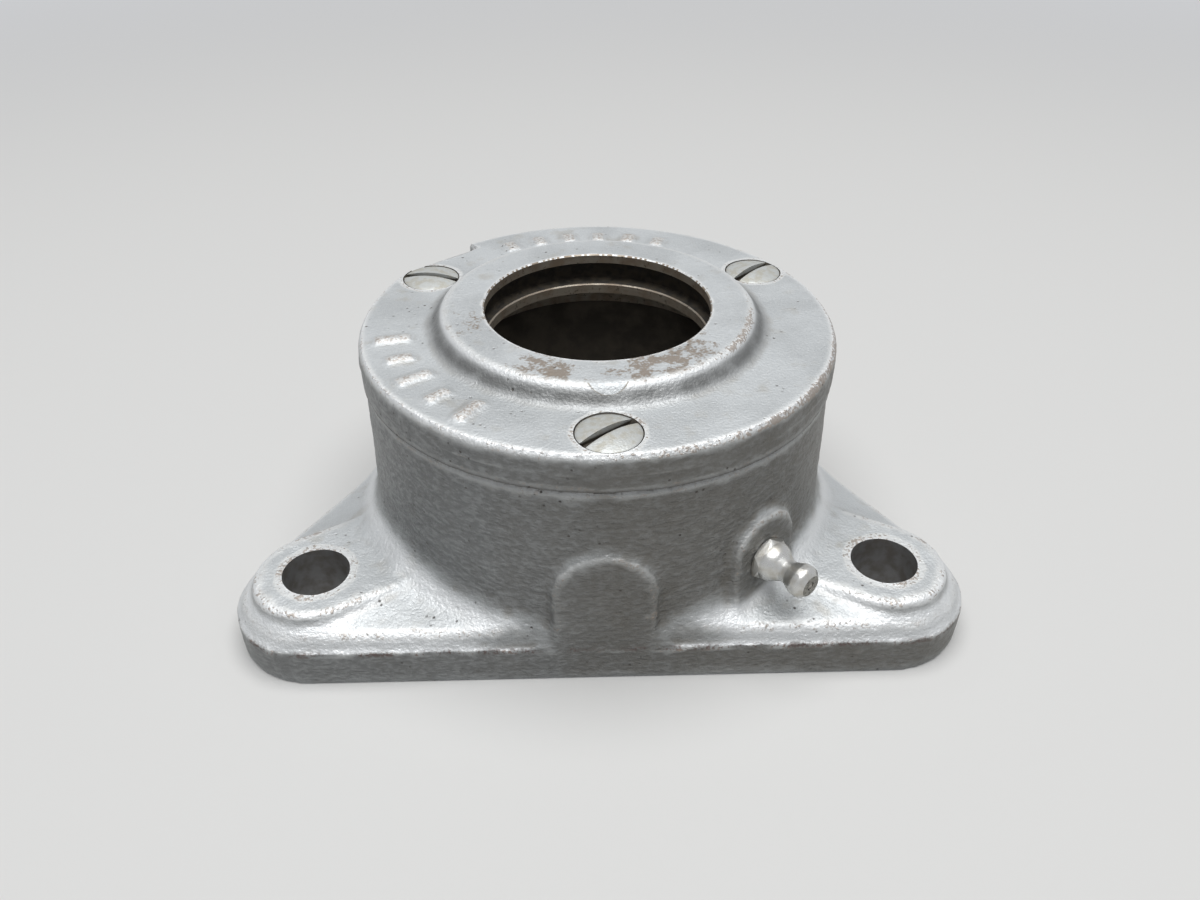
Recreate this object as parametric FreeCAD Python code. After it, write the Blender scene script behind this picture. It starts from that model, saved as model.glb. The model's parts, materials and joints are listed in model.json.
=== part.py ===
import FreeCAD, Part
import math
import os

# A cast three-bolt flanged bearing housing. It lies on its mounting face: the shaft axis is Z, the
# origin is on that axis in the plane of the mounting face, X runs along the straight front edge of
# the flange and -Y points to the front. Lengths are in millimetres and angles in degrees.

Vec = FreeCAD.Vector
UP = Vec(0, 0, 1)
CENTRE = Vec(0, 0, 0)

# How near two places are to count as the same, and how far a cut runs past the face that it opens
TOUCH = 1e-4
PAST = 1.0

# The shaft's opening is the size that the rest follows, outwards through walls and clearances
OPENING_RADIUS = 22.55
HUB_WIDTH = 7.95
HUB_SLOPE_RUN = 3.1
SCREW_HEAD_ROOM = 1.0
SCREW_EDGE_WALL = 6.5
COVER_OVERHANG = 0.7
REGISTER_WALL = 6.4
CAVITY_STEP = 3.0
FRONT_ROOM = 1.45
BOLT_ROOM = 17.6

# Flange
BOLT_COUNT = 3
BOLT_HOLE_RADIUS = 6.5
FIRST_BOLT_ANGLE = -30.0
FLANGE_EDGE_HEIGHT = 10.4
FLANGE_EDGE_ROUND = 2.6
WEB_TOP_CORNER = 1.1
EDGE_LEAN = 0.3
PAD_HEIGHT = 14.2
PAD_RADIUS = 12.0
PAD_DRAFT_RUN = 1.1
PAD_EDGE_ROUND = 0.8

# Round body
BODY_HEIGHT = 43.8
BODY_DRAFT_RUN = 0.5
FOOT_ROUND = 7.5
SEAT_LENGTH = 15.0
SEAT_CHAMFER = 1.0
REGISTER_DEPTH = 4.0

# Blank boss at the front, flush with the flange's edge
BLANK_BOSS_HALF_WIDTH = 9.6
BLANK_BOSS_TOP = 30.4
BOSS_DRAFT_RUN = 1.7
BOSS_EDGE_ROUND = 0.7

# Boss that carries the grease nipple
NIPPLE_ANGLE = -51.0
NIPPLE_HEIGHT = 21.0
NIPPLE_BOSS_RISE = 1.8
NIPPLE_BOSS_HALF_WIDTH = 7.8
NIPPLE_BOSS_CROWN = 9.8
NIPPLE_BOSS_FLARE = 7.0
NIPPLE_FLARE_SPREAD = 4.9
NIPPLE_FLARE_DRAFT_RUN = 1.0
NIPPLE_SPOT_FACE_CLEARANCE = 0.5
FLARE_STEPS = 4
NIPPLE_HOLE_RADIUS = 3.18
NIPPLE_HOLE_DEPTH = 9.0
GREASE_WAY_RADIUS = 2.0

# Gasket and end cover
GASKET_THICKNESS = 0.5
COVER_THICKNESS = 7.4
COVER_EDGE_ROUND = 1.4
HUB_RISE = 3.6
HUB_SHOULDER_ROUND = 1.6
HUB_FOOT_ROUND = 1.8
UPPER_LIP = 2.0
FELT_GROOVE_MOUTH = 5.0
FELT_GROOVE_DEPTH = 2.4
FELT_GROOVE_SLOPE = 0.5
LOWER_LIP = 2.2
SPIGOT_WALL = 5.0
SPIGOT_LENGTH = 3.4
REGISTER_CLEARANCE = 0.06
SPOT_RADIUS = 3.7
SPOT_DEPTH = 0.45
SPOT_OUTSIDE_SHOULDER = 0.5
SPOT_ANGLE = -88.3
CHIP_START_ANGLE = 127.0
CHIP_END_ANGLE = 152.0
CHIP_DEPTH = 3.9
CHIP_HEIGHT = 3.4
CHIP_END_DEPTH = 0.5

# Cover screws: slotted, oval countersunk heads
SCREW_ANGLES = {"front": -89.0, "rear_right": 31.0, "rear_left": 151.0}
SLOT_ANGLES = {"front": 37.6, "rear_right": 42.7, "rear_left": -10.6}
SCREW_HEAD_RADIUS = 5.8
SCREW_HEAD_HALF_ANGLE = 41.0
SCREW_HEAD_CROWN = 0.9
SCREW_SINK = 0.12
SCREW_SHANK_RADIUS = 3.1
SCREW_LENGTH = 19.0
SCREW_HOLE_CLEARANCE = 0.3
THREAD_CLEARANCE = 0.06
TAP_RUNOUT = 3.0
SLOT_WIDTH = 1.6
SLOT_DEPTH = 1.7

# Grease nipple with its check ball and spring
HEX_ACROSS_FLATS = 7.94
HEX_CHAMFER = 0.4
HEX_SIDE_LENGTH = 2.2
HEX_DOME_ROUND = 4.2
HEX_TOP = 4.9
NECK_RADIUS = 2.35
NIPPLE_LENGTH = 11.0
HEAD_RADIUS = 3.25
HEAD_LENGTH = 4.6
HEAD_SLOPE = 1.6
HEAD_EDGE_ROUND = 0.4
TIP_RADIUS = 2.45
TIP_BEVEL = 1.1
NIPPLE_SHANK_CLEARANCE = 0.08
NIPPLE_SHANK_LENGTH = 6.0
NIPPLE_MOUTH_RADIUS = 0.85
NIPPLE_MOUTH_LENGTH = 0.5
NIPPLE_BORE_RADIUS = 1.25
SPRING_LEDGE_RADIUS = 0.6
BALL_RADIUS = 1.0
BALL_GAP = 0.05
SPRING_LENGTH = 5.0
SPRING_COIL_RADIUS = 0.75
SPRING_WIRE_RADIUS = 0.14
SPRING_TURNS = 6

# Worked out from the sizes above
HUB_SHOULDER_RADIUS = OPENING_RADIUS + HUB_WIDTH
HUB_FOOT_RADIUS = HUB_SHOULDER_RADIUS + HUB_SLOPE_RUN
SCREW_CIRCLE_RADIUS = HUB_FOOT_RADIUS + SCREW_HEAD_ROOM + SCREW_HEAD_RADIUS
BODY_TOP_RADIUS = SCREW_CIRCLE_RADIUS + SCREW_EDGE_WALL
BODY_FOOT_RADIUS = BODY_TOP_RADIUS + BODY_DRAFT_RUN
COVER_RADIUS = BODY_TOP_RADIUS + COVER_OVERHANG
SEAT_RADIUS = SCREW_CIRCLE_RADIUS - REGISTER_WALL
SPIGOT_RADIUS = SEAT_RADIUS - REGISTER_CLEARANCE
CAVITY_RADIUS = SEAT_RADIUS - CAVITY_STEP
SHOULDER_HEIGHT = SEAT_LENGTH + SEAT_CHAMFER
FRONT_EDGE = BODY_TOP_RADIUS + FRONT_ROOM
BOLT_CIRCLE_RADIUS = BODY_TOP_RADIUS + BOLT_ROOM
CORNER_RADIUS = FRONT_EDGE - BOLT_CIRCLE_RADIUS * math.cos(math.pi / BOLT_COUNT)
WEB_RUN = CORNER_RADIUS - WEB_TOP_CORNER
COVER_BOTTOM = BODY_HEIGHT + GASKET_THICKNESS
COVER_TOP = COVER_BOTTOM + COVER_THICKNESS
HUB_TOP = COVER_TOP + HUB_RISE
BOSS_ROOT = (SEAT_RADIUS + BODY_TOP_RADIUS) / 2
NIPPLE_BOSS_FACE = BODY_TOP_RADIUS + NIPPLE_BOSS_RISE
HEX_CORNER_RADIUS = HEX_ACROSS_FLATS / math.sqrt(3)


def polar(radius, angle, height=0.0):
    turn = math.radians(angle)
    return Vec(radius * math.cos(turn), radius * math.sin(turn), height)


def cylinder(radius, low, high, centre=CENTRE):
    return Part.makeCylinder(radius, high - low, centre + UP * low)


def spun(outline):
    """Solid turned about Z from a closed outline of (radius, height); a third value rounds that corner."""
    corners = [Vec(corner[0], 0, corner[1]) for corner in outline]
    ends = []
    edges = []
    for number, corner in enumerate(corners):
        if len(outline[number]) == 2:
            ends.append((corner, corner))
            continue
        round_radius = outline[number][2]
        back = (corners[number - 1] - corner).normalize()
        ahead = (corners[(number + 1) % len(corners)] - corner).normalize()
        half = back.getAngle(ahead) / 2
        inward = (back + ahead).normalize()
        start = corner + back * (round_radius / math.tan(half))
        end = corner + ahead * (round_radius / math.tan(half))
        middle = corner + inward * (round_radius / math.sin(half) - round_radius)
        edges.append(Part.Arc(start, middle, end).toShape())
        ends.append((start, end))
    for number in range(len(ends)):
        edges.append(Part.LineSegment(ends[number - 1][1], ends[number][0]).toShape())
    face = Part.Face(Part.Wire(Part.sortEdges(edges)[0]))
    return face.revolve(CENTRE, UP, 360)


def rounded(solid, radius, picked):
    """Rounds the edges that picked(edge) is true for."""
    return solid.makeFillet(radius, [edge for edge in solid.Edges if picked(edge)])


def level_edge(edge, height):
    return abs(edge.BoundBox.ZMin - height) < TOUCH and abs(edge.BoundBox.ZMax - height) < TOUCH


def turned(shape, angle):
    copy = shape.copy()
    copy.rotate(CENTRE, UP, angle)
    return copy


def on_nipple_axis(shape):
    """A shape made along Z is laid along the nipple's axis, with its Z = 0 on the boss's face."""
    copy = shape.copy()
    copy.rotate(CENTRE, Vec(0, 1, 0), 90)
    copy.translate(Vec(NIPPLE_BOSS_FACE, 0, NIPPLE_HEIGHT))
    copy.rotate(CENTRE, UP, NIPPLE_ANGLE)
    return copy


def flange_outline(inset, height):
    """Rounded triangle about the bolt holes, drawn in by the inset."""
    radius = CORNER_RADIUS - inset
    half_turn = 180.0 / BOLT_COUNT
    edges = []
    for number in range(BOLT_COUNT):
        angle = FIRST_BOLT_ANGLE + number * 2 * half_turn
        hole = polar(BOLT_CIRCLE_RADIUS, angle, height)
        start = hole + polar(radius, angle - half_turn)
        middle = hole + polar(radius, angle)
        end = hole + polar(radius, angle + half_turn)
        following = polar(BOLT_CIRCLE_RADIUS, angle + 2 * half_turn, height)
        edges.append(Part.Arc(start, middle, end).toShape())
        edges.append(Part.LineSegment(end, following + polar(radius, angle + half_turn)).toShape())
    return Part.Wire(edges)


def flange_plate():
    """Plate with a rounded top edge, whose upper side rises inwards as a shallow web."""
    side = Part.Face(flange_outline(0, 0)).extrude(UP * FLANGE_EDGE_HEIGHT)
    web_levels = [flange_outline(0, FLANGE_EDGE_HEIGHT), flange_outline(WEB_RUN, PAD_HEIGHT)]
    web = Part.makeLoft(web_levels, True, True)
    plate = side.fuse(web).removeSplitter()
    return rounded(plate, FLANGE_EDGE_ROUND, lambda edge: level_edge(edge, FLANGE_EDGE_HEIGHT))


def stadium(radius, height, length):
    """Outline with one round end about the origin, drawn out along -X."""
    far = Vec(-length, 0, height)
    side = Vec(0, radius, 0)
    near = Vec(0, 0, height)
    arc = Part.Arc(near - side, near + Vec(radius, 0, 0), near + side).toShape()
    upper = Part.LineSegment(near + side, far + side).toShape()
    back = Part.LineSegment(far + side, far - side).toShape()
    lower = Part.LineSegment(far - side, near - side).toShape()
    return Part.Wire([arc, upper, back, lower])


def bolt_pad():
    """Flat pad about a bolt hole, running in to the round body, with a drafted side."""
    length = BOLT_CIRCLE_RADIUS - SEAT_RADIUS
    foot = stadium(PAD_RADIUS + PAD_DRAFT_RUN, FLANGE_EDGE_HEIGHT - FLANGE_EDGE_ROUND, length)
    pad = Part.makeLoft([foot, stadium(PAD_RADIUS, PAD_HEIGHT, length)], True, True)
    pad = rounded(pad, PAD_EDGE_ROUND,
                  lambda edge: level_edge(edge, PAD_HEIGHT) and edge.BoundBox.XMax > -length + TOUCH)
    pad.translate(Vec(BOLT_CIRCLE_RADIUS, 0, 0))
    return pad


def inside_outline():
    """Room above the flange that the rounds and flares at the foot of the body may fill."""
    side_top = FLANGE_EDGE_HEIGHT - FLANGE_EDGE_ROUND
    corner = FLANGE_EDGE_ROUND * (1 - math.sqrt(0.5))
    top = PAD_HEIGHT + FOOT_ROUND + PAST
    lean = FLANGE_EDGE_ROUND + (top - side_top) * EDGE_LEAN
    return Part.makeLoft([flange_outline(0, 0), flange_outline(0, side_top),
                          flange_outline(corner, FLANGE_EDGE_HEIGHT - corner), flange_outline(lean, top)],
                         True, True)


def round_body():
    """Drafted cylinder with a concave round at its foot, kept inside the flange's outline."""
    drum = spun([(0, 0), (BODY_FOOT_RADIUS, 0), (BODY_FOOT_RADIUS, PAD_HEIGHT + FOOT_ROUND + PAST),
                 (BODY_TOP_RADIUS, BODY_HEIGHT), (0, BODY_HEIGHT)])
    fall = (PAD_HEIGHT - FLANGE_EDGE_HEIGHT) / WEB_RUN
    spread = FOOT_ROUND + PAST
    wide_web = Part.makeLoft([flange_outline(-spread, FLANGE_EDGE_HEIGHT - spread * fall),
                              flange_outline(WEB_RUN, PAD_HEIGHT)], True, True)
    joined = rounded(wide_web.fuse(drum).removeSplitter(), FOOT_ROUND, foot_edge)
    return drum.fuse(joined.common(inside_outline()))


def foot_edge(edge):
    """Whether the edge is where the round body stands on the web."""
    middle = edge.valueAt((edge.FirstParameter + edge.LastParameter) / 2)
    on_wall = abs(math.hypot(middle.x, middle.y) - BODY_FOOT_RADIUS) < TOUCH
    return on_wall and FLANGE_EDGE_HEIGHT < middle.z < PAD_HEIGHT + TOUCH


def arch(half_width, top, low, depth):
    """Upright arch-shaped outline in the plane X = depth, with a round top."""
    spring_line = top - half_width
    left = Vec(depth, -half_width, spring_line)
    right = Vec(depth, half_width, spring_line)
    crown = Part.Arc(left, Vec(depth, 0, top), right).toShape()
    right_foot = Vec(depth, half_width, low)
    left_foot = Vec(depth, -half_width, low)
    sides = [Part.LineSegment(right, right_foot), Part.LineSegment(right_foot, left_foot),
             Part.LineSegment(left_foot, left)]
    return Part.Wire([crown] + [side.toShape() for side in sides])


def arch_boss(half_width, top, face, low):
    """Arch-shaped boss that grows wider from its face into the round body."""
    root = arch(half_width + BOSS_DRAFT_RUN, top + BOSS_DRAFT_RUN, low, BOSS_ROOT)
    boss = Part.makeLoft([arch(half_width, top, low, face), root], True, True)
    return rounded(boss, BOSS_EDGE_ROUND,
                   lambda edge: edge.BoundBox.XMin > face - TOUCH and edge.BoundBox.ZMax > low + TOUCH)


def flare():
    """Foot of the nipple's boss, which spreads outwards and sideways as it nears the flange."""
    low = FLANGE_EDGE_HEIGHT - FLANGE_EDGE_ROUND
    rise = NIPPLE_HEIGHT - HEX_CORNER_RADIUS - low
    curve = [(NIPPLE_BOSS_FLARE, NIPPLE_FLARE_SPREAD, 0)]
    for number in range(1, FLARE_STEPS):
        left = (1 - number / FLARE_STEPS) ** 2
        curve.append((NIPPLE_BOSS_FLARE * left, NIPPLE_FLARE_SPREAD * left, rise * number / FLARE_STEPS))
    curve.append((0, 0, rise))
    sections = []
    for run, spread, height in curve:
        side = NIPPLE_BOSS_HALF_WIDTH + spread
        root = side + NIPPLE_FLARE_DRAFT_RUN
        points = [Vec(BOSS_ROOT, -root, low + height), Vec(NIPPLE_BOSS_FACE + run, -side, low + height),
                  Vec(NIPPLE_BOSS_FACE + run, side, low + height), Vec(BOSS_ROOT, root, low + height)]
        sections.append(Part.makePolygon(points + points[:1]))
    return Part.makeLoft(sections, True, True)


def housing_body():
    bolts = [FIRST_BOLT_ANGLE + 360.0 / BOLT_COUNT * number for number in range(BOLT_COUNT)]
    casting = flange_plate().fuse([round_body()] + [turned(bolt_pad(), angle) for angle in bolts])
    blank = turned(arch_boss(BLANK_BOSS_HALF_WIDTH, BLANK_BOSS_TOP, FRONT_EDGE, 0), -90)
    carrier = turned(arch_boss(NIPPLE_BOSS_HALF_WIDTH, NIPPLE_HEIGHT + NIPPLE_BOSS_CROWN, NIPPLE_BOSS_FACE,
                               FLANGE_EDGE_HEIGHT - FLANGE_EDGE_ROUND), NIPPLE_ANGLE)
    skirt = turned(flare(), NIPPLE_ANGLE)
    casting = casting.fuse([blank, carrier, skirt.common(inside_outline())])

    cuts = [spun([(0, -PAST), (SEAT_RADIUS + SEAT_CHAMFER + PAST, -PAST), (SEAT_RADIUS, SEAT_CHAMFER),
                  (SEAT_RADIUS, SHOULDER_HEIGHT), (CAVITY_RADIUS, SHOULDER_HEIGHT),
                  (CAVITY_RADIUS, BODY_HEIGHT - REGISTER_DEPTH),
                  (SEAT_RADIUS, BODY_HEIGHT - REGISTER_DEPTH), (SEAT_RADIUS, BODY_HEIGHT + PAST),
                  (0, BODY_HEIGHT + PAST)])]
    for angle in bolts:
        cuts.append(cylinder(BOLT_HOLE_RADIUS, -PAST, COVER_TOP, polar(BOLT_CIRCLE_RADIUS, angle)))
    for angle in SCREW_ANGLES.values():
        end = COVER_TOP - SCREW_SINK - SCREW_LENGTH - TAP_RUNOUT
        cuts.append(cylinder(SCREW_SHANK_RADIUS + THREAD_CLEARANCE, end, BODY_HEIGHT + PAST,
                             polar(SCREW_CIRCLE_RADIUS, angle)))
    spot_face_radius = HEX_CORNER_RADIUS + NIPPLE_SPOT_FACE_CLEARANCE
    cuts.append(on_nipple_axis(cylinder(spot_face_radius, 0, NIPPLE_BOSS_FLARE + FOOT_ROUND)))
    cuts.append(on_nipple_axis(cylinder(NIPPLE_HOLE_RADIUS, -NIPPLE_HOLE_DEPTH, PAST)))
    cuts.append(on_nipple_axis(cylinder(GREASE_WAY_RADIUS, CAVITY_RADIUS - NIPPLE_BOSS_FACE - PAST, 0)))
    return casting.cut(cuts).removeSplitter()


def cover_gasket():
    ring = cylinder(COVER_RADIUS - COVER_EDGE_ROUND, BODY_HEIGHT, COVER_BOTTOM)
    cuts = [cylinder(SEAT_RADIUS, BODY_HEIGHT, COVER_BOTTOM)]
    for angle in SCREW_ANGLES.values():
        cuts.append(cylinder(SCREW_SHANK_RADIUS + SCREW_HOLE_CLEARANCE, BODY_HEIGHT, COVER_BOTTOM,
                             polar(SCREW_CIRCLE_RADIUS, angle)))
    return ring.cut(cuts)


def rim_chip():
    """Wedge broken out of the rim: deep at its sharp end and running out along the edge."""
    sections = []
    for share, height in ((0.0, COVER_TOP - CHIP_HEIGHT), (1.0, COVER_TOP + PAST)):
        bite = CHIP_DEPTH * share * (CHIP_HEIGHT + PAST) / CHIP_HEIGHT
        points = [polar(COVER_RADIUS - bite, CHIP_START_ANGLE, height),
                  polar(COVER_RADIUS + CHIP_DEPTH, CHIP_START_ANGLE, height),
                  polar(COVER_RADIUS + CHIP_DEPTH, CHIP_END_ANGLE, height),
                  polar(COVER_RADIUS - bite * CHIP_END_DEPTH / CHIP_DEPTH, CHIP_END_ANGLE, height)]
        sections.append(Part.makePolygon(points + points[:1]))
    return Part.makeLoft(sections, True, True)


def end_cover():
    lip_top = HUB_TOP - UPPER_LIP
    groove_low = lip_top - FELT_GROOVE_MOUTH
    groove_radius = OPENING_RADIUS + FELT_GROOVE_DEPTH
    lip_bottom = groove_low - LOWER_LIP
    disc = spun([(OPENING_RADIUS, HUB_TOP), (OPENING_RADIUS, lip_top),
                 (groove_radius, lip_top - FELT_GROOVE_SLOPE),
                 (groove_radius, groove_low + FELT_GROOVE_SLOPE), (OPENING_RADIUS, groove_low),
                 (OPENING_RADIUS, lip_bottom), (SPIGOT_RADIUS - SPIGOT_WALL, lip_bottom),
                 (SPIGOT_RADIUS - SPIGOT_WALL, COVER_BOTTOM - SPIGOT_LENGTH),
                 (SPIGOT_RADIUS, COVER_BOTTOM - SPIGOT_LENGTH), (SPIGOT_RADIUS, COVER_BOTTOM),
                 (COVER_RADIUS, COVER_BOTTOM), (COVER_RADIUS, COVER_TOP, COVER_EDGE_ROUND),
                 (HUB_FOOT_RADIUS, COVER_TOP, HUB_FOOT_ROUND),
                 (HUB_SHOULDER_RADIUS, HUB_TOP, HUB_SHOULDER_ROUND)])
    spot = polar(HUB_SHOULDER_RADIUS + SPOT_OUTSIDE_SHOULDER, SPOT_ANGLE)
    cuts = [cylinder(SPOT_RADIUS, HUB_TOP - SPOT_DEPTH, HUB_TOP + PAST, spot), rim_chip()]
    for angle in SCREW_ANGLES.values():
        place = polar(SCREW_CIRCLE_RADIUS, angle)
        hole_radius = SCREW_SHANK_RADIUS + SCREW_HOLE_CLEARANCE
        cuts.append(cylinder(hole_radius, COVER_BOTTOM - PAST, COVER_TOP, place))
        mouth = COVER_TOP + PAST
        cuts.append(Part.makeCone(0, head_cone_radius(mouth), mouth - cone_apex(), place + UP * cone_apex()))
    return disc.cut(cuts).removeSplitter()


def cone_apex():
    """Height of the point of the countersink's cone."""
    return COVER_TOP - SCREW_SINK - SCREW_HEAD_RADIUS / math.tan(math.radians(SCREW_HEAD_HALF_ANGLE))


def head_cone_radius(height):
    return (height - cone_apex()) * math.tan(math.radians(SCREW_HEAD_HALF_ANGLE))


def cover_screw(angle, slot_angle):
    edge = COVER_TOP - SCREW_SINK
    ball = (SCREW_HEAD_RADIUS ** 2 + SCREW_HEAD_CROWN ** 2) / (2 * SCREW_HEAD_CROWN)
    cone = Part.makeCone(0, SCREW_HEAD_RADIUS, edge - cone_apex(), UP * cone_apex())
    crown = Part.makeSphere(ball, UP * (edge + SCREW_HEAD_CROWN - ball))
    crown = crown.common(cylinder(SCREW_HEAD_RADIUS, edge, edge + SCREW_HEAD_CROWN + PAST))
    shank = cylinder(SCREW_SHANK_RADIUS, edge - SCREW_LENGTH, edge)
    screw = cone.fuse([crown, shank]).removeSplitter()
    slot_floor = edge + SCREW_HEAD_CROWN - SLOT_DEPTH
    half_length = SCREW_HEAD_RADIUS + PAST
    slot = Part.makeBox(2 * half_length, SLOT_WIDTH, SLOT_DEPTH + PAST,
                        Vec(-half_length, -SLOT_WIDTH / 2, slot_floor))
    slot.rotate(CENTRE, UP, slot_angle)
    screw = screw.cut(slot)
    screw.translate(polar(SCREW_CIRCLE_RADIUS, angle))
    return screw


def ball_centre():
    """Distance of the resting check ball from the boss's face."""
    reach = math.sqrt(BALL_RADIUS ** 2 - NIPPLE_MOUTH_RADIUS ** 2)
    return NIPPLE_LENGTH - NIPPLE_MOUTH_LENGTH - BALL_GAP - reach


def spring_seat():
    return ball_centre() - BALL_RADIUS - SPRING_LENGTH


def grease_nipple_body():
    flat_radius = HEX_ACROSS_FLATS / 2
    shank_radius = NIPPLE_HOLE_RADIUS - NIPPLE_SHANK_CLEARANCE
    head_start = NIPPLE_LENGTH - HEAD_LENGTH
    stock = spun([(0, -NIPPLE_SHANK_LENGTH), (shank_radius, -NIPPLE_SHANK_LENGTH), (shank_radius, 0),
                  (flat_radius, 0), (HEX_CORNER_RADIUS, HEX_CHAMFER),
                  (HEX_CORNER_RADIUS, HEX_SIDE_LENGTH, HEX_DOME_ROUND), (NECK_RADIUS, HEX_TOP),
                  (NECK_RADIUS, head_start), (HEAD_RADIUS, head_start + HEAD_SLOPE, HEAD_EDGE_ROUND),
                  (HEAD_RADIUS, NIPPLE_LENGTH - TIP_BEVEL, HEAD_EDGE_ROUND),
                  (TIP_RADIUS, NIPPLE_LENGTH), (0, NIPPLE_LENGTH)])
    corners = [polar(HEX_CORNER_RADIUS, 60 * number + 30, -NIPPLE_SHANK_LENGTH) for number in range(6)]
    end_face = Part.Face(Part.makePolygon(corners + corners[:1]))
    nipple = stock.common(end_face.extrude(UP * (NIPPLE_SHANK_LENGTH + NIPPLE_LENGTH)))
    bore_end = NIPPLE_LENGTH - NIPPLE_MOUTH_LENGTH
    nipple = nipple.cut([cylinder(SPRING_LEDGE_RADIUS, -NIPPLE_SHANK_LENGTH - PAST, spring_seat() + PAST),
                         cylinder(NIPPLE_BORE_RADIUS, spring_seat(), bore_end),
                         cylinder(NIPPLE_MOUTH_RADIUS, bore_end - PAST, NIPPLE_LENGTH + PAST)])
    return on_nipple_axis(nipple)


def grease_check_ball():
    return on_nipple_axis(Part.makeSphere(BALL_RADIUS, UP * ball_centre()))


def grease_check_spring():
    """Coil between the ledge in the nipple's bore and the back of the ball."""
    coil_length = SPRING_LENGTH - 2 * SPRING_WIRE_RADIUS - BALL_GAP
    pitch = coil_length / SPRING_TURNS
    coil = Part.makeHelix(pitch, coil_length, SPRING_COIL_RADIUS)
    wire = Part.Wire(Part.makeCircle(SPRING_WIRE_RADIUS, Vec(SPRING_COIL_RADIUS, 0, 0), Vec(0, 1, 0)))
    spring = Part.Wire(coil).makePipeShell([wire], True, True)
    spring.translate(UP * (spring_seat() + SPRING_WIRE_RADIUS))
    return on_nipple_axis(spring)


def build():
    shapes = {"housing_body": housing_body(), "cover_gasket": cover_gasket(), "end_cover": end_cover()}
    for name, angle in SCREW_ANGLES.items():
        shapes["cover_screw_" + name] = cover_screw(angle, SLOT_ANGLES[name])
    shapes["grease_nipple_body"] = grease_nipple_body()
    shapes["grease_check_ball"] = grease_check_ball()
    shapes["grease_check_spring"] = grease_check_spring()
    return shapes


os.makedirs("parts", exist_ok=True)
for node, shape in build().items():
    print(node, shape.ShapeType, len(shape.Solids), shape.isValid(), round(shape.Volume, 1))
    shape.exportStep("parts/" + node + ".step")
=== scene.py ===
import json
import math

import bmesh
import bpy
import numpy as np
from mathutils import Matrix, Vector, noise


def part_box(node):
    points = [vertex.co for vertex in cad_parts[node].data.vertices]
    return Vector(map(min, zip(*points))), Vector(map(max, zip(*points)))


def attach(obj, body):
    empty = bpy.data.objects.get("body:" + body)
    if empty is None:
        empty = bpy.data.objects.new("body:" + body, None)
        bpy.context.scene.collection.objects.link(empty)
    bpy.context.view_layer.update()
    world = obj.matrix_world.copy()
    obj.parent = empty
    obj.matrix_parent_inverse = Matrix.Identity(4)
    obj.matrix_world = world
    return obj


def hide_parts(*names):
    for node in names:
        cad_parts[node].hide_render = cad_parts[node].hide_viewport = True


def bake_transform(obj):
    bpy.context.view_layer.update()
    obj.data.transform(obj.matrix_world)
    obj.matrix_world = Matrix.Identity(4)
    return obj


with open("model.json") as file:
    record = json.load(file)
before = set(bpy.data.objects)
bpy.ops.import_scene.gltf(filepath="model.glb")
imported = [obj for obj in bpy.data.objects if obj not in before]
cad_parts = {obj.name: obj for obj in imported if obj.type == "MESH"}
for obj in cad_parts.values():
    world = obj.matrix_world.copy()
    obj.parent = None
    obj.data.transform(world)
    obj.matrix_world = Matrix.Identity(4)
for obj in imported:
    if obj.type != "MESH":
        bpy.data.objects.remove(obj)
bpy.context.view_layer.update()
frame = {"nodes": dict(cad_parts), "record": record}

MM = 0.001
UP = Vector((0, 0, 1))

# What the frame says: the castings' boxes, and the openings that its mounts name
MOUNTS = {mount["name"]: mount for mount in frame["record"]["mounts"]}
BODY_LOW, BODY_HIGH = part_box("housing_body")
COVER_LOW, COVER_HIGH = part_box("end_cover")
BODY_HEIGHT = BODY_HIGH.z
FRONT_EDGE = BODY_LOW.y
COVER_RADIUS = COVER_HIGH.x
HUB_TOP = COVER_HIGH.z
OPENING_RADIUS = MOUNTS["shaft_opening"]["dims"]["r_mm"] * MM
SEAT_RADIUS = MOUNTS["bearing_seat"]["dims"]["r_mm"] * MM
SEAT_LENGTH = MOUNTS["bearing_seat"]["dims"]["length_mm"] * MM
BOLT_CIRCLE = MOUNTS["flange_bolts"]["dims"]["pcd_mm"] * MM / 2
BOLT_HOLE = MOUNTS["flange_bolts"]["dims"]["hole_r_mm"] * MM
NIPPLE_HEIGHT = MOUNTS["grease_nipple_head"]["pos_m"][2]

# Flange and round body
BOLT_ANGLES = (-30.0, 90.0, 210.0)
PAD_HEIGHT = 14.2 * MM
CORNER_RADIUS = BODY_HIGH.y - BOLT_CIRCLE
FLANGE_SIDE = 7.8 * MM
FLANGE_BEVEL = 2.6 * MM
ARCH_HALF_WIDTH = 10.5 * MM
PARTING_LINE = 7.0 * MM
FLASH_HALF_WIDTH = 62.0 * MM
SEAT_CHAMFER = 1.0 * MM
SHOULDER_HEIGHT = SEAT_LENGTH + SEAT_CHAMFER
CAVITY_RADIUS = SEAT_RADIUS - 3.0 * MM
REGISTER_DEPTH = 4.0 * MM

# Gasket and cover
COVER_BOTTOM = BODY_HEIGHT + 0.5 * MM
COVER_TOP = COVER_BOTTOM + 7.4 * MM
HUB_SHOULDER = OPENING_RADIUS + 7.95 * MM
HUB_FOOT = HUB_SHOULDER + 3.1 * MM
UPPER_LIP = 2.0 * MM
GROOVE_MOUTH = 5.0 * MM
GROOVE_DEPTH = 2.4 * MM
GROOVE_SLOPE = 0.5 * MM
LOWER_LIP = 2.2 * MM
LIP_BREAK = 0.25 * MM
GROOVE_RADIUS = OPENING_RADIUS + GROOVE_DEPTH
GROOVE_TOP = HUB_TOP - UPPER_LIP
GROOVE_LOW = GROOVE_TOP - GROOVE_MOUTH
SPIGOT_RADIUS = SEAT_RADIUS - 0.06 * MM
SPIGOT_WALL = 5.0 * MM
SPIGOT_LENGTH = 3.4 * MM
SPIGOT_END = COVER_BOTTOM - SPIGOT_LENGTH
COVER_SEAM = COVER_BOTTOM + 3.4 * MM

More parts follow.
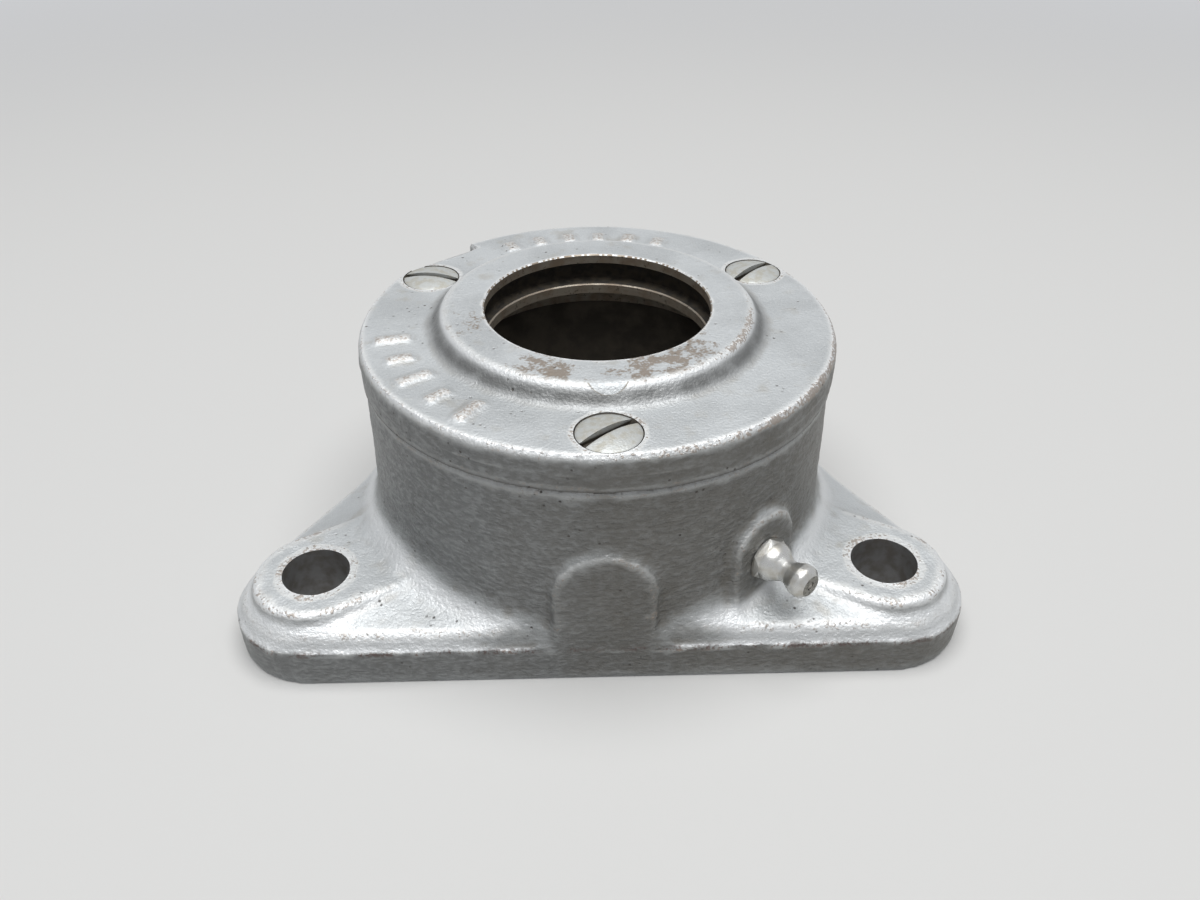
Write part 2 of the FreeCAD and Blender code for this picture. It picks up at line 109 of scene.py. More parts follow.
# Flat on the hub's slope, part of a circle whose middle lies above the slope's upper edge
SPOT_RADIUS = 3.6 * MM
SPOT_ANGLE = -88.3
SPOT_RISE = 1.2 * MM
SPOT_DEPTH = 0.24 * MM
HUB_TILT = math.atan2(HUB_TOP - COVER_TOP, HUB_FOOT - HUB_SHOULDER)
SPOT_EDGE = HUB_SHOULDER - SPOT_DEPTH / math.sin(HUB_TILT)

# Chip out of the rim, and the raised bars on the face: angle and length of each
CHIP_START = 127.0
CHIP_END = 152.0
CHIP_DEPTH = 3.9 * MM
CHIP_HEIGHT = 3.4 * MM
LEFT_BARS = ((-169, 6.4 * MM), (-158, 4.6 * MM), (-147, 6.4 * MM), (-136, 4.6 * MM), (-125, 6.4 * MM))
REAR_BARS = tuple((angle, 3.8 * MM) for angle in (118, 108, 98, 88, 78, 68))

# Cover screws: the angle of each on its circle, and of its slot
SCREW_CIRCLE = HUB_FOOT + 6.8 * MM
SCREWS = {"front": (-89.0, 37.6), "rear_right": (31.0, 42.7), "rear_left": (151.0, -10.6)}
HEAD_RADIUS = 5.8 * MM
HEAD_CROWN = 0.9 * MM
HEAD_SINK = 0.12 * MM
HEAD_ROOM = 0.14 * MM
HEAD_HALF_ANGLE = math.radians(41.0)
SHANK_RADIUS = 3.1 * MM
SHANK_HOLE = 3.4 * MM
TAPPED_HOLE = 3.16 * MM
TAPPED_DEPTH = 22.0 * MM
SCREW_LENGTH = 19.0 * MM
THREAD_PITCH = 1.27 * MM
THREAD_DEPTH = 0.5 * MM
SLOT_WIDTH = 1.6 * MM
SLOT_DEPTH = 1.7 * MM

# Grease nipple, measured outwards from the face of its boss
NIPPLE_ANGLE = math.radians(-51.0)
NIPPLE_FACE = 48.7 * MM
NIPPLE_HOLE = 3.18 * MM
NIPPLE_HOLE_DEPTH = 9.0 * MM
NIPPLE_LENGTH = 11.0 * MM
NIPPLE_TIP_RADIUS = 2.15 * MM
GREASE_WAY = 2.0 * MM
HEX_ACROSS_FLATS = 7.94 * MM
HEX_CORNER = HEX_ACROSS_FLATS / math.sqrt(3)

# How finely the castings are meshed, and how rough the sand left them
BODY_VOXEL = 0.66 * MM
COVER_VOXEL = 0.5 * MM
SKIN_WAVE = 0.1 * MM
TURN_STEPS = 256
HOLE_STEPS = 96

# The pale room round the part: how strongly it lights the part, and how bright the camera and metal see it
ROOM_COLOUR = (0.95, 0.965, 1.0, 1)
ROOM_LIGHT = 0.14
ROOM_SEEN = 0.66
FLOOR_LIT = (0.22, 0.22, 0.22, 1)
FLOOR_SEEN = (0.70, 0.70, 0.69, 1)


def new_piece(name, shape):
    """An object at the origin from a bmesh, which is freed."""
    mesh = bpy.data.meshes.new(name)
    shape.to_mesh(mesh)
    shape.free()
    piece = bpy.data.objects.new(name, mesh)
    bpy.context.scene.collection.objects.link(piece)
    return piece


def polar(radius, degrees, height=0.0):
    turn = math.radians(degrees)
    return Vector((radius * math.cos(turn), radius * math.sin(turn), height))


def arc_points(centre, radius, start, end, count):
    """Points of an arc in (radius, height), from start to end degrees."""
    turns = [math.radians(start + (end - start) * number / count) for number in range(count + 1)]
    return [(centre[0] + radius * math.cos(turn), centre[1] + radius * math.sin(turn)) for turn in turns]


def turned_shape(outline, steps=TURN_STEPS):
    """Closed outline of (radius, height) points, turned about Z."""
    shape = bmesh.new()
    ring = [shape.verts.new((radius, 0, height)) for radius, height in outline]
    edges = [shape.edges.new((ring[number - 1], ring[number])) for number in range(len(ring))]
    bmesh.ops.spin(shape, geom=ring + edges, cent=(0, 0, 0), axis=UP, angle=math.tau, steps=steps,
                   use_merge=True)
    bmesh.ops.remove_doubles(shape, verts=shape.verts, dist=1e-7)
    bmesh.ops.recalc_face_normals(shape, faces=shape.faces)
    return shape


def add_rod(shape, radius, low, high, place=Vector((0, 0, 0)), matrix=Matrix(), steps=64):
    """Closed cylinder along the matrix's Z, added to the bmesh."""
    bmesh.ops.create_cone(shape, cap_ends=True, segments=steps, radius1=radius, radius2=radius,
                          depth=high - low, matrix=matrix @ Matrix.Translation(place + UP * (low + high) / 2))


def add_block(shape, size, matrix):
    """Box of the size, centred on the matrix's origin, added to the bmesh."""
    made = bmesh.ops.create_cube(shape, size=1.0)
    bmesh.ops.transform(shape, matrix=matrix @ Matrix.Diagonal((*size, 1)), verts=made["verts"])


def add_shape(shape, other, place=Vector((0, 0, 0))):
    """Adds another bmesh, moved to its place, and frees it."""
    bmesh.ops.translate(other, verts=other.verts, vec=place)
    mesh = bpy.data.meshes.new("added")
    other.to_mesh(mesh)
    other.free()
    shape.from_mesh(mesh)


def nipple_matrix():
    """Frame with Z along the nipple and its origin on the boss's face."""
    return (Matrix.Rotation(NIPPLE_ANGLE, 4, "Z") @ Matrix.Translation((NIPPLE_FACE, 0, NIPPLE_HEIGHT))
            @ Matrix.Rotation(math.pi / 2, 4, "Y"))


def apply_modifiers(piece):
    view = bpy.context.evaluated_depsgraph_get()
    mesh = bpy.data.meshes.new_from_object(piece.evaluated_get(view))
    piece.modifiers.clear()
    piece.data = mesh


def combine(piece, shape, operation="DIFFERENCE"):
    """Cuts the closed shape out of the piece, or keeps what they share."""
    tool = new_piece("tool", shape)
    step = piece.modifiers.new("combine", "BOOLEAN")
    step.operation = operation
    step.solver = "MANIFOLD"
    step.object = tool
    bpy.context.view_layer.update()
    apply_modifiers(piece)
    bpy.data.objects.remove(tool)


def remesh(piece, size):
    step = piece.modifiers.new("skin", "REMESH")
    step.mode = "VOXEL"
    step.voxel_size = size
    apply_modifiers(piece)


def wear_edges(piece, width, angle):
    """Small round on every sharp edge, as handling leaves it."""
    step = piece.modifiers.new("wear", "BEVEL")
    step.width = width
    step.segments = 2
    step.limit_method = "ANGLE"
    step.angle_limit = math.radians(angle)
    apply_modifiers(piece)


def shade_smooth(piece, angle=38.0):
    for face in piece.data.polygons:
        face.use_smooth = True
    piece.data.set_sharp_from_angle(angle=math.radians(angle))


def ragged(point, seed, size):
    """Uneven wave between about -1 and 1 whose swells are about the size."""
    return noise.noise(point / size + Vector((seed, seed, seed)))


def ramp(value, start, end):
    """0 at the start and before it, 1 at the end and past it."""
    return min(1.0, max(0.0, (value - start) / (end - start)))


def soften(shape, rounds, keep, level=False):
    """Smooths the vertices that keep(vertex) is true for, level ones without leaving their height."""
    soft = [vert for vert in shape.verts if keep(vert)]
    for _ in range(rounds):
        bmesh.ops.smooth_vert(shape, verts=soft, factor=0.5, use_axis_x=True, use_axis_y=True,
                              use_axis_z=not level)


def cast_skin(shape, depth, strength):
    """Moves the skin in and out as sand casting leaves it; strength(point) is 0 where it was machined."""
    shape.normal_update()
    moves = []
    for vert in shape.verts:
        drawn = Vector((vert.co.x / 2, vert.co.y / 2, vert.co.z))
        upright = 1 - abs(vert.normal.z)
        wave = ragged(vert.co, 3.1, 12 * MM) + 0.5 * ragged(vert.co, 7.7, 4.5 * MM)
        wave += 0.4 * ragged(vert.co, 1.3, 1.7 * MM) + 0.7 * upright * ragged(drawn, 6.3, 1.4 * MM)
        moves.append(vert.normal * depth * wave * strength(vert.co))
    for vert, move in zip(shape.verts, moves):
        vert.co += move


def read_values(items, name, width, kind=np.float32):
    """What the mesh holds for each of its items, one row each."""
    values = np.empty(len(items) * width, kind)
    items.foreach_get(name, values)
    return values.reshape(-1, width)


def mark_surface(piece, rounds=10):
    """Stores how far each vertex stands out from its surroundings, in mm, and how upright the surface is."""
    mesh = piece.data
    count = len(mesh.vertices)
    places = read_values(mesh.vertices, "co", 3)
    normals = read_values(mesh.vertex_normals, "vector", 3)
    starts, stops = read_values(mesh.edges, "vertices", 2, np.int32).T

    def sum_beside(values):
        return np.bincount(starts, values[stops], count) + np.bincount(stops, values[starts], count)

    degree = np.maximum(sum_beside(np.ones(count)), 1)[:, None]
    soft = np.column_stack((places, np.abs(normals[:, 2]))).astype(float)
    for _ in range(rounds):
        soft = (soft + np.column_stack([sum_beside(values) for values in soft.T]) / degree) / 2
    relief = ((places - soft[:, :3]) * normals).sum(axis=1) / MM
    for name, values in (("relief", relief), ("upright", 1 - soft[:, 3])):
        mesh.attributes.new(name, "FLOAT", "POINT").data.foreach_set("value", values.astype(np.float32))


def give_slots(piece, materials, choose=lambda centre: 0):
    """Gives the piece its materials, and each face the one whose number choose(centre) says."""
    piece.data.materials.clear()
    for material in materials:
        piece.data.materials.append(material)
    for face in piece.data.polygons:
        face.material_index = choose(face.center)


def finish_casting(piece, node, materials, choose):
    """Shades the casting, gives it its finishes, hides the frame's node that it stands for and ties it to its
    body.
    """
    shade_smooth(piece)
    mark_surface(piece)
    give_slots(piece, materials, choose)
    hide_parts(node)
    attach(piece, "housing")


def body_cavity():
    """What is bored out of the body, with the chamfer of the bearing's seat."""
    below = -2 * MM
    register = BODY_HEIGHT - REGISTER_DEPTH
    above = BODY_HEIGHT + 2 * MM
    return turned_shape([(0, below), (SEAT_RADIUS + SEAT_CHAMFER - below, below),
                         (SEAT_RADIUS, SEAT_CHAMFER), (SEAT_RADIUS, SHOULDER_HEIGHT),
                         (CAVITY_RADIUS, SHOULDER_HEIGHT), (CAVITY_RADIUS, register),
                         (SEAT_RADIUS, register), (SEAT_RADIUS, above), (0, above)])


def parting_flash(shape):
    """Ragged lip that the mould's joint left along the front edge of the flange, strongest in the middle."""
    lip_height = 0.5 * MM
    lip_depth = 0.34 * MM
    room = 0.28 * MM
    for vert in shape.verts:
        point = vert.co
        near = ramp(point.y, FRONT_EDGE + 1.8 * MM, FRONT_EDGE + 0.4 * MM) * ramp(point.z, 0.6 * MM, 2 * MM)
        if near == 0 or abs(point.x) > FLASH_HALF_WIDTH:
            continue
        along = Vector((point.x, 0, 0))
        rise = point.z - PARTING_LINE - 0.9 * MM * ragged(along, 5.0, 7 * MM)
        lip = math.exp(-(rise / lip_height) ** 2)
        plain = 1 - ramp(point.x, -12 * MM, -6 * MM) * ramp(point.x, 40 * MM, 34 * MM)
        share = ramp(ragged(along, 9.0, 8 * MM), -0.35, 0.25) * (1 - 0.75 * plain)
        point.y += (room - lip_depth * lip * share) * near


def bevel_flange(shape):
    """Pares the flange's rounded edge down to the flatter slope that stands on its upright side."""
    corners = [polar(BOLT_CIRCLE, angle) for angle in BOLT_ANGLES]
    sides = [(corner, corners[number - 1] - corner) for number, corner in enumerate(corners)]
    for vert in shape.verts:
        if not FLANGE_SIDE < vert.co.z < FLANGE_SIDE + FLANGE_BEVEL:
            continue
        flat = Vector((vert.co.x, vert.co.y, 0))
        gaps = []
        for corner, side in sides:
            share = min(1.0, max(0.0, (flat - corner).dot(side) / side.length_squared))
            gaps.append((flat - corner - side * share).length)
        beside = 1.0 if flat.y > 0 else ramp(abs(flat.x), ARCH_HALF_WIDTH, ARCH_HALF_WIDTH + 3 * MM)
        slope = FLANGE_SIDE + max(0.0, CORNER_RADIUS - min(gaps))
        vert.co.z -= max(0.0, vert.co.z - slope) * beside


def stop_holes(shape):
    """Fills the frame's cavity and holes, so that the new skin runs over them, and trues the corners."""
    add_rod(shape, SEAT_RADIUS + 4 * MM, 0, BODY_HEIGHT, steps=HOLE_STEPS)
    for angle in BOLT_ANGLES:
        add_rod(shape, BOLT_HOLE + 0.4 * MM, 0, PAD_HEIGHT, polar(BOLT_CIRCLE, angle))
        add_rod(shape, CORNER_RADIUS, 0, FLANGE_SIDE, polar(BOLT_CIRCLE, angle), steps=TURN_STEPS)
    for angle, _ in SCREWS.values():
        add_rod(shape, TAPPED_HOLE + 0.5 * MM, BODY_HEIGHT - TAPPED_DEPTH, BODY_HEIGHT,
                polar(SCREW_CIRCLE, angle))
    add_rod(shape, NIPPLE_HOLE + 0.5 * MM, -14 * MM, 0, matrix=nipple_matrix())


def body_strength(point):
    """How rough the body's skin is: most at the front, and smooth near the top and the bottom."""
    rough = 1.0 + 0.8 * ramp(-point.y, 0, 40 * MM)
    return rough * ramp(point.z, 0.6 * MM, 2 * MM) * ramp(BODY_HEIGHT - point.z, 0.6 * MM, 2 * MM)


def weather_body(shape):
    """Softens the remeshed body, shapes its flange and roughens it, within the frame's box."""
    machined = 0.5 * MM
    soften(shape, 6, lambda vert: machined < vert.co.z < BODY_HEIGHT - machined)
    soften(shape, 8, lambda vert: not machined < vert.co.z < BODY_HEIGHT - machined, level=True)
    bevel_flange(shape)
    soften(shape, 14, lambda vert: FLANGE_SIDE + 1.1 * MM < vert.co.z < FLANGE_SIDE + 1.7 * FLANGE_BEVEL)
    soften(shape, 1, lambda vert: FLANGE_SIDE - 1 * MM < vert.co.z < FLANGE_SIDE + FLANGE_BEVEL)
    cast_skin(shape, SKIN_WAVE, body_strength)
    parting_flash(shape)
    for vert in shape.verts:
        vert.co = [min(max(part, low), high) for part, low, high in zip(vert.co, BODY_LOW, BODY_HIGH)]


def drill_body(piece):
    """Bores the cavity, then the bolt holes, the tapped holes and the nipple's thread and grease way."""
    past = 2 * MM
    holes = body_cavity()
    for angle in BOLT_ANGLES:
        add_rod(holes, BOLT_HOLE, -past, PAD_HEIGHT + past, polar(BOLT_CIRCLE, angle), steps=HOLE_STEPS)
    for angle, _ in SCREWS.values():
        add_rod(holes, TAPPED_HOLE, BODY_HEIGHT - TAPPED_DEPTH, BODY_HEIGHT + past,
                polar(SCREW_CIRCLE, angle))
    combine(piece, holes)
    for radius, low, high in ((NIPPLE_HOLE, -NIPPLE_HOLE_DEPTH, 3 * MM),
                              (GREASE_WAY, -20 * MM, -NIPPLE_HOLE_DEPTH + 1 * MM)):
        hole = bmesh.new()
        add_rod(hole, radius, low, high, matrix=nipple_matrix())
        combine(piece, hole)


def housing_casting(paint, bored, milled, drilled):
    """The frame's own form with its holes stopped, re-skinned as a casting, softened and drilled again."""
    shape = bmesh.new()
    shape.from_mesh(frame["nodes"]["housing_body"].data)
    bmesh.ops.remove_doubles(shape, verts=shape.verts, dist=1e-6)
    stop_holes(shape)
    piece = new_piece("housing_casting", shape)
    remesh(piece, BODY_VOXEL)
    shape = bmesh.new()
    shape.from_mesh(piece.data)
    weather_body(shape)
    shape.to_mesh(piece.data)
    shape.free()
    drill_body(piece)
    bolts = [polar(BOLT_CIRCLE, angle) for angle in BOLT_ANGLES]

    def choose(centre):
        if centre.z < 0.01 * MM:
            return 2
        if centre.xy.length < SEAT_RADIUS + SEAT_CHAMFER:
            return 1
        return 3 if min((centre.xy - bolt.xy).length for bolt in bolts) < BOLT_HOLE else 0

    finish_casting(piece, "housing_body", [paint, bored, milled, drilled], choose)


def cover_blank():
    """Outer form of the cover without its bore: rim, face and hub, each with its cast round."""
    rim = 1.5 * MM
    foot = 2.0 * MM
    shoulder = 1.5 * MM
    lean = math.degrees(math.atan2(HUB_FOOT - HUB_SHOULDER, HUB_TOP - COVER_TOP))
    half_turn = math.tan(math.radians(90 - lean) / 2)
    outline = [(0, SPIGOT_END), (COVER_RADIUS, SPIGOT_END)]
    outline += arc_points((COVER_RADIUS - rim, COVER_TOP - rim), rim, 0, 90, 6)
    outline += arc_points((HUB_FOOT + foot * half_turn, COVER_TOP + foot), foot, 270, 180 + lean, 5)
    outline += arc_points((HUB_SHOULDER - shoulder * half_turn, HUB_TOP - shoulder), shoulder, lean, 90, 5)
    return turned_shape(outline + [(0, HUB_TOP)])


def add_cast_marks(shape):
    """Plain raised bars on the cover's face, in two groups."""
    for bars, radius, width, height in ((LEFT_BARS, 40.6 * MM, 2.0 * MM, 1.5 * MM),
                                        (REAR_BARS, 39.6 * MM, 2.4 * MM, 1.3 * MM)):
        for angle, length in bars:
            turn = Matrix.Rotation(math.radians(angle), 4, "Z")
            add_block(shape, (length, width, height),
                      Matrix.Translation(polar(radius, angle, COVER_TOP)) @ turn)


def rim_chip():
    """Wedge broken out of the rim, deep at its sharp end and running out along the edge."""
    shape = bmesh.new()
    floor = COVER_TOP - CHIP_HEIGHT
    crown = COVER_TOP + 1 * MM
    reach = COVER_RADIUS + CHIP_DEPTH
    bite = CHIP_DEPTH * (crown - floor) / CHIP_HEIGHT
    rings = []
    for height, inset in ((floor, 0), (crown, bite)):
        corners = [polar(COVER_RADIUS - inset, CHIP_START, height), polar(reach, CHIP_START, height),
                   polar(reach, CHIP_END, height), polar(COVER_RADIUS - inset / 8, CHIP_END, height)]
        ring = [shape.verts.new(corner) for corner in corners]
        rings.append([shape.edges.new((ring[number - 1], ring[number])) for number in range(4)])
    bmesh.ops.bridge_loops(shape, edges=rings[0] + rings[1])
    bmesh.ops.contextual_create(shape, geom=rings[0])
    bmesh.ops.contextual_create(shape, geom=rings[1])
    bmesh.ops.recalc_face_normals(shape, faces=shape.faces)
    return shape


def weather_cover(shape):
    """Softens and roughens the cover, and leaves a ragged seam round its side, within the frame's box."""
    side = 1 * MM
    seam_height = 0.35 * MM
    seam_depth = 0.2 * MM
    room = 0.19 * MM
    soften(shape, 3, lambda vert: True)
    cast_skin(shape, SKIN_WAVE, lambda point: 0.6 + 0.9 * ramp(COVER_TOP - side - point.z, 0, side))
    for vert in shape.verts:
        point = vert.co
        flat = point.xy
        rise = point.z - COVER_SEAM - 0.4 * MM * ragged(point, 2.0, 9 * MM)
        seam = seam_depth * math.exp(-(rise / seam_height) ** 2)
        if flat.length > COVER_RADIUS - 0.8 * MM:
            out = seam * ramp(ragged(point, 8.0, 10 * MM), -0.3, 0.2) - room
            flat *= (flat.length + out) / flat.length
        flat *= min(1.0, COVER_RADIUS / max(flat.length, MM))
        vert.co = (flat.x, flat.y, min(point.z, HUB_TOP))


def bore_cover(piece):
    """Turns the opening with its two lips and the groove between them, then the spigot."""
    low = SPIGOT_END - 3 * MM
    far = COVER_RADIUS + 5 * MM
    above = HUB_TOP + 3 * MM
    lip_bottom = GROOVE_LOW - LOWER_LIP
    spigot_bore = SPIGOT_RADIUS - SPIGOT_WALL
    combine(piece, turned_shape([(0, low), (spigot_bore, low), (spigot_bore, lip_bottom),
                                 (OPENING_RADIUS, lip_bottom), (OPENING_RADIUS, GROOVE_LOW - LIP_BREAK),
                                 (OPENING_RADIUS + LIP_BREAK, GROOVE_LOW),
                                 (GROOVE_RADIUS, GROOVE_LOW + GROOVE_SLOPE),
                                 (GROOVE_RADIUS, GROOVE_TOP - GROOVE_SLOPE), (OPENING_RADIUS, GROOVE_TOP),
                                 (OPENING_RADIUS, HUB_TOP - LIP_BREAK),
                                 (OPENING_RADIUS + 2 * LIP_BREAK, HUB_TOP + LIP_BREAK),
                                 (OPENING_RADIUS + 2 * LIP_BREAK, above), (0, above)]))
    combine(piece, turned_shape([(SPIGOT_RADIUS, low), (far, low), (far, COVER_BOTTOM),
                                 (SPIGOT_RADIUS, COVER_BOTTOM)]))
    end = bmesh.new()
    add_rod(end, far, low, SPIGOT_END)
    combine(piece, end)


def spot_centre():
    """Middle of the circle that bounds the flat, in the plane of the flat."""
    radius = SPOT_EDGE - SPOT_RISE * math.cos(HUB_TILT)
    return polar(radius, SPOT_ANGLE, HUB_TOP + SPOT_RISE * math.sin(HUB_TILT))


def drill_cover(piece):
    """Countersunk holes for the screws, and the flat on the hub's slope."""
    apex = COVER_TOP - HEAD_SINK - (HEAD_RADIUS + HEAD_ROOM) / math.tan(HEAD_HALF_ANGLE)
    mouth = COVER_TOP + 1 * MM
    start = COVER_BOTTOM - 1 * MM
    holes = bmesh.new()
    for angle, _ in SCREWS.values():
        sink = [(0, start), (SHANK_HOLE, start), (SHANK_HOLE, apex + SHANK_HOLE / math.tan(HEAD_HALF_ANGLE)),
                ((mouth - apex) * math.tan(HEAD_HALF_ANGLE), mouth), (0, mouth)]
        add_shape(holes, turned_shape(sink, HOLE_STEPS), polar(SCREW_CIRCLE, angle))
    turn = Matrix.Rotation(math.radians(SPOT_ANGLE), 4, "Z") @ Matrix.Rotation(HUB_TILT, 4, "Y")
    add_rod(holes, SPOT_RADIUS, 0, 4 * MM, matrix=Matrix.Translation(spot_centre()) @ turn)
    combine(piece, holes)


def cover_casting(paint, lip, shade_and_rings):
    """Disc with a raised hub, re-skinned as a casting, then turned and drilled."""
    shape = cover_blank()
    add_cast_marks(shape)
    piece = new_piece("cover_casting", shape)
    remesh(piece, COVER_VOXEL)
    combine(piece, rim_chip())
    shape = bmesh.new()
    shape.from_mesh(piece.data)
    weather_cover(shape)
    shape.to_mesh(piece.data)
    shape.free()
    bore_cover(piece)
    drill_cover(piece)
    screws = [polar(SCREW_CIRCLE, angle) for angle, _ in SCREWS.values()]
    near = 0.1 * MM

    def choose(centre):
        radius = centre.xy.length
        # The groove's faces take the third material, near black as painted shade; so do the countersinks
        # round the screws.
        if radius < GROOVE_RADIUS + near and centre.z < HUB_TOP - near:
            return 2 if radius > OPENING_RADIUS + 2 * LIP_BREAK and GROOVE_LOW < centre.z else 1
        if centre.z < COVER_BOTTOM + 0.01 * MM:
            return 1
        beside = min((centre.xy - screw.xy).length for screw in screws)
        return 2 if beside < HEAD_RADIUS + near and centre.z < COVER_TOP - 0.3 * MM else 0

    finish_casting(piece, "end_cover", [paint, lip, shade_and_rings], choose)


def cover_screw(name, angle, slot_angle, metal):
    """Oval countersunk screw, turned as one with the ridges of its thread, then slotted."""
    edge = COVER_TOP - HEAD_SINK
    ball = (HEAD_RADIUS ** 2 + HEAD_CROWN ** 2) / (2 * HEAD_CROWN)
    half = math.degrees(math.asin(HEAD_RADIUS / ball))
    seat = edge - (HEAD_RADIUS - SHANK_RADIUS) / math.tan(HEAD_HALF_ANGLE)
    end = edge - SCREW_LENGTH
    root = SHANK_RADIUS - THREAD_DEPTH
    outline = [(0, end), (root, end)]
    height = end + THREAD_PITCH / 2
    while height + 2 * THREAD_PITCH < seat:
        outline += [(root, height), (SHANK_RADIUS, height + THREAD_PITCH / 2)]
        height += THREAD_PITCH
    outline += [(root, height), (SHANK_RADIUS, height + THREAD_PITCH / 2), (SHANK_RADIUS, seat)]
    outline += arc_points((0, edge + HEAD_CROWN - ball), ball, 90 - half, 90, 8)
    piece = new_piece("screw_" + name, turned_shape(outline, HOLE_STEPS))
    slot = bmesh.new()
    floor = edge + HEAD_CROWN - SLOT_DEPTH
    turn = Matrix.Rotation(math.radians(slot_angle), 4, "Z")
    add_block(slot, (3 * HEAD_RADIUS, SLOT_WIDTH, 2 * SLOT_DEPTH),
              Matrix.Translation((0, 0, floor + SLOT_DEPTH)) @ turn)
    combine(piece, slot)
    wear_edges(piece, 0.12 * MM, 35)
    piece.data.transform(Matrix.Translation(polar(SCREW_CIRCLE, angle)))
    shade_smooth(piece, 30)
    give_slots(piece, [metal])
    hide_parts("cover_screw_" + name)
    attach(piece, "housing")


def nipple_outline():
    """Half section of the nipple, from its shank past the hexagon and the neck to the mouth and the bore."""
    shank = NIPPLE_HOLE - 0.08 * MM
    shank_end = -6 * MM
    chamfer = 0.4 * MM
    dome = 3.77 * MM
    dome_foot = 1.5 * MM
    neck = 2.35 * MM
    neck_low, neck_high = 5.05 * MM, 6.3 * MM
    head = 3.25 * MM
    head_round = 1.2 * MM
    head_low, head_high = 8.5 * MM, 9.3 * MM
    bore = 1.25 * MM
    bore_end = NIPPLE_LENGTH - 0.5 * MM
    mouth = 0.85 * MM
    mouth_break = 0.1 * MM
    ledge = 0.6 * MM
    ledge_height = 3.92 * MM
    outline = [(ledge, shank_end), (shank, shank_end), (shank, 0), (HEX_ACROSS_FLATS / 2, 0),
               (HEX_CORNER, chamfer), (HEX_CORNER, chamfer + 0.2 * MM)]
    outline += arc_points((HEX_ACROSS_FLATS / 2 - dome, dome_foot), dome, 2, 44, 9)
    outline += [(neck + 0.25 * MM, neck_low - 0.3 * MM), (neck, neck_low), (neck, neck_high),
                (neck + 0.2 * MM, neck_high + 0.3 * MM)]
    outline += arc_points((head - head_round, head_low), head_round, -28, 0, 4)
    outline += arc_points((head - head_round, head_high), head_round, 0, 50, 5)
    outline += [(NIPPLE_TIP_RADIUS, NIPPLE_LENGTH - 0.14 * MM),
                (NIPPLE_TIP_RADIUS - 0.25 * MM, NIPPLE_LENGTH - 0.03 * MM),
                (mouth + mouth_break, NIPPLE_LENGTH), (mouth, NIPPLE_LENGTH - mouth_break), (mouth, bore_end),
                (bore, bore_end), (bore, ledge_height), (ledge, ledge_height)]
    return outline


def grease_nipple(metal, tip_metal):
    """Hexagon with a domed top, a neck, and the ball-shaped head that the grease gun grips."""
    piece = new_piece("nipple", turned_shape(nipple_outline(), HOLE_STEPS))
    bar = bmesh.new()
    add_rod(bar, HEX_CORNER, -20 * MM, 20 * MM, matrix=Matrix.Rotation(math.radians(30), 4, "Z"), steps=6)
    combine(piece, bar, "INTERSECT")
    wear_edges(piece, 0.1 * MM, 24)
    piece.data.transform(nipple_matrix())
    shade_smooth(piece, 30)
    inwards = nipple_matrix().inverted()
    tip = NIPPLE_LENGTH - 0.13 * MM
    give_slots(piece, [metal, tip_metal], lambda centre: int((inwards @ centre).z > tip))
    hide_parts("grease_nipple_body")
    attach(piece, "housing")


def check_spring(metal):
    """The check ball's spring, whose outer end goes in with the ball."""
    node = frame["nodes"]["grease_check_spring"]
    shape = bmesh.new()
    shape.from_mesh(node.data)
    bmesh.ops.transform(shape, matrix=node.matrix_world, verts=shape.verts)
    bmesh.ops.remove_doubles(shape, verts=shape.verts, dist=1e-4 * MM)
    bmesh.ops.recalc_face_normals(shape, faces=shape.faces)
    piece = new_piece("check_spring", shape)
    shade_smooth(piece)
    give_slots(piece, [metal])
    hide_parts("grease_check_spring")
    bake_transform(piece)


def put(tree, socket, value):
    """Fills a socket with a value, or with another node's output."""
    if isinstance(value, bpy.types.NodeSocket):
        tree.links.new(value, socket)
    else:
        socket.default_value = value


def add_node(tree, kind, inputs=None, **settings):
    """Adds a shader node and fills its inputs with values or with other nodes' outputs."""
    node = tree.nodes.new("ShaderNode" + kind)
    for key, value in settings.items():
        setattr(node, key, value)
    for key, value in (inputs or {}).items():
        put(tree, node.inputs[key], value)
    return node


